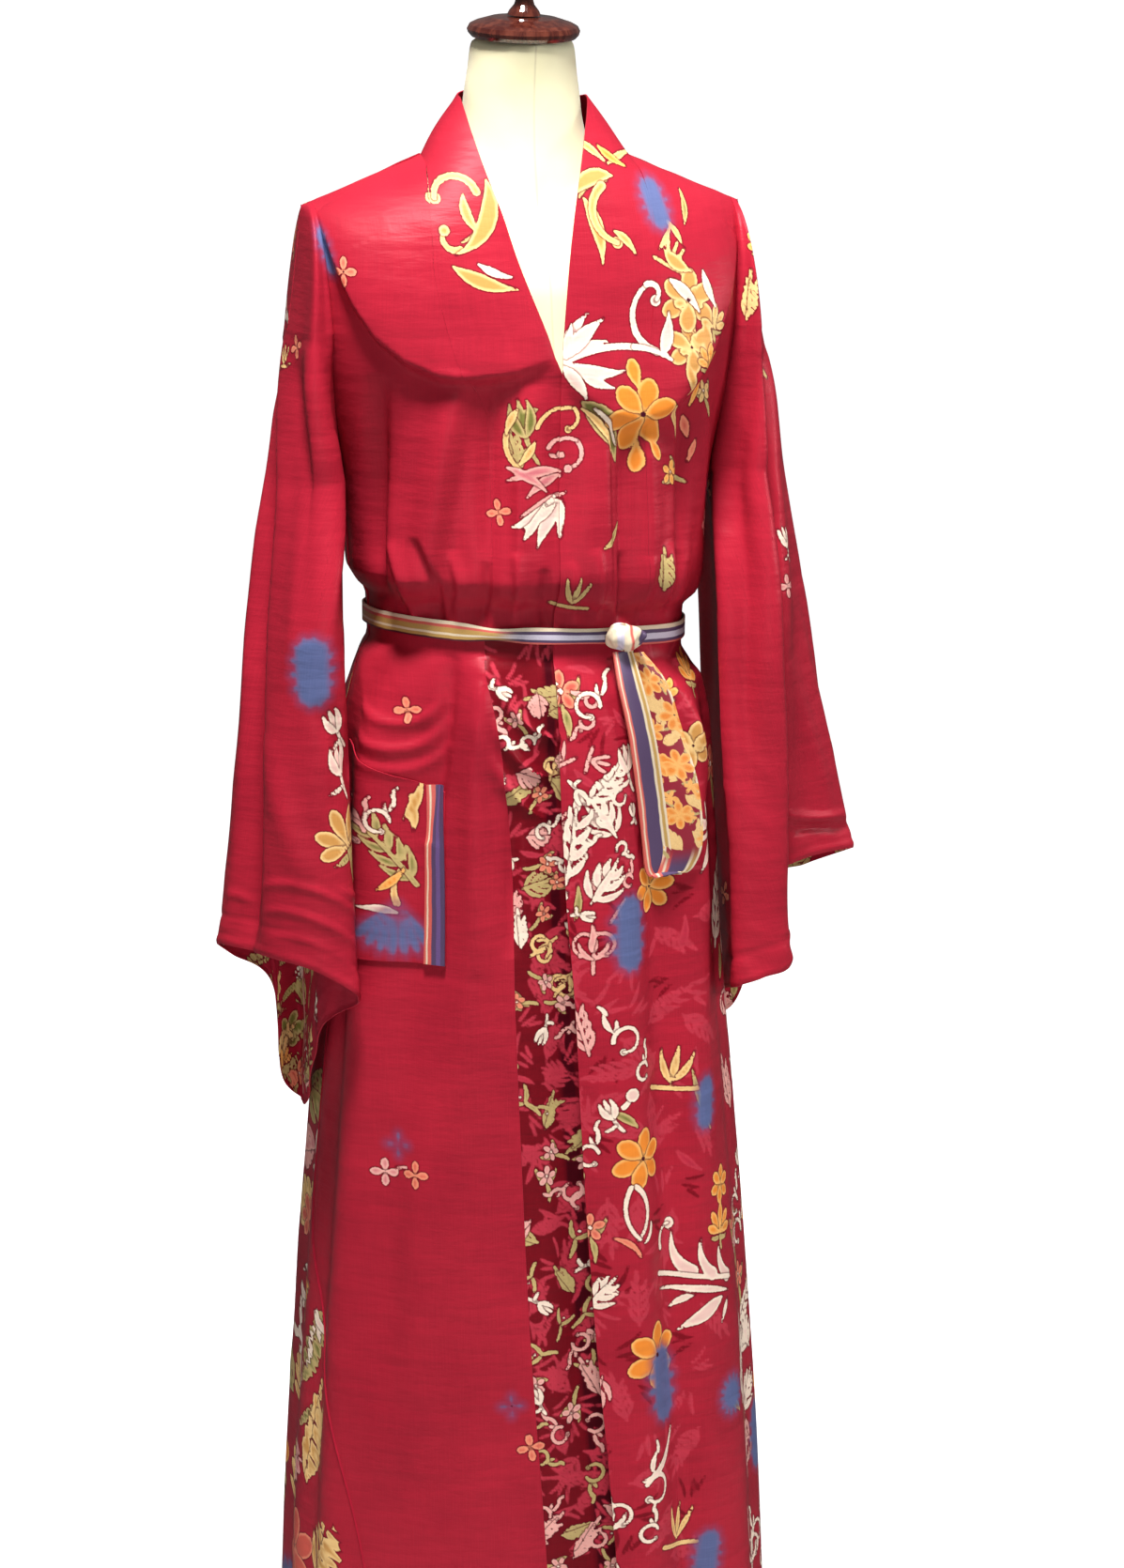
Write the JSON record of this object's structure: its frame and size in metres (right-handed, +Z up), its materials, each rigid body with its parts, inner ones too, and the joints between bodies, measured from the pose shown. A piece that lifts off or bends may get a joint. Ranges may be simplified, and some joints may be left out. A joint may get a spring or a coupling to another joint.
{
  "type": "kimono duster robe on a limbless dress form",
  "caption": "Long silk kimono robe with wide hanging sleeves, a neckband, a hip pocket and a tied sash, worn by a limbless dress form on a pole and round base.",
  "frame": {"origin": "middle of the underside of the dress form's base", "axes": "+Z up, the robe's front faces -Y, the wearer's right side is -X"},
  "size_m": [0.6019, 0.3461, 1.6502],
  "materials": {
    "silk_plain": "satin sari silk, crimson with a sparse print",
    "silk_print": "satin sari silk, crimson with large flowers and leaves",
    "silk_border": "striped sari border silk",
    "form_jersey": "cream knitted jersey, matt",
    "stand_wood": "dark red-brown, glossy lacquer"
  },
  "bodies": {
    "root": {"back": "silk_print", "front_right": "silk_plain", "front_left": "silk_print", "neckband_right": "silk_print", "neckband_left": "silk_print", "sleeve_right": "silk_plain", "sleeve_left": "silk_plain", "pocket_right": "silk_print", "pocket_trim": "silk_border", "sash_ring": "silk_border", "sash_knot": "silk_border", "sash_loop": "silk_border", "form_torso": "form_jersey", "neck_cap": "stand_wood", "neck_finial": "stand_wood", "pole": "stand_wood", "base": "stand_wood"}
  },
  "joints": []
}
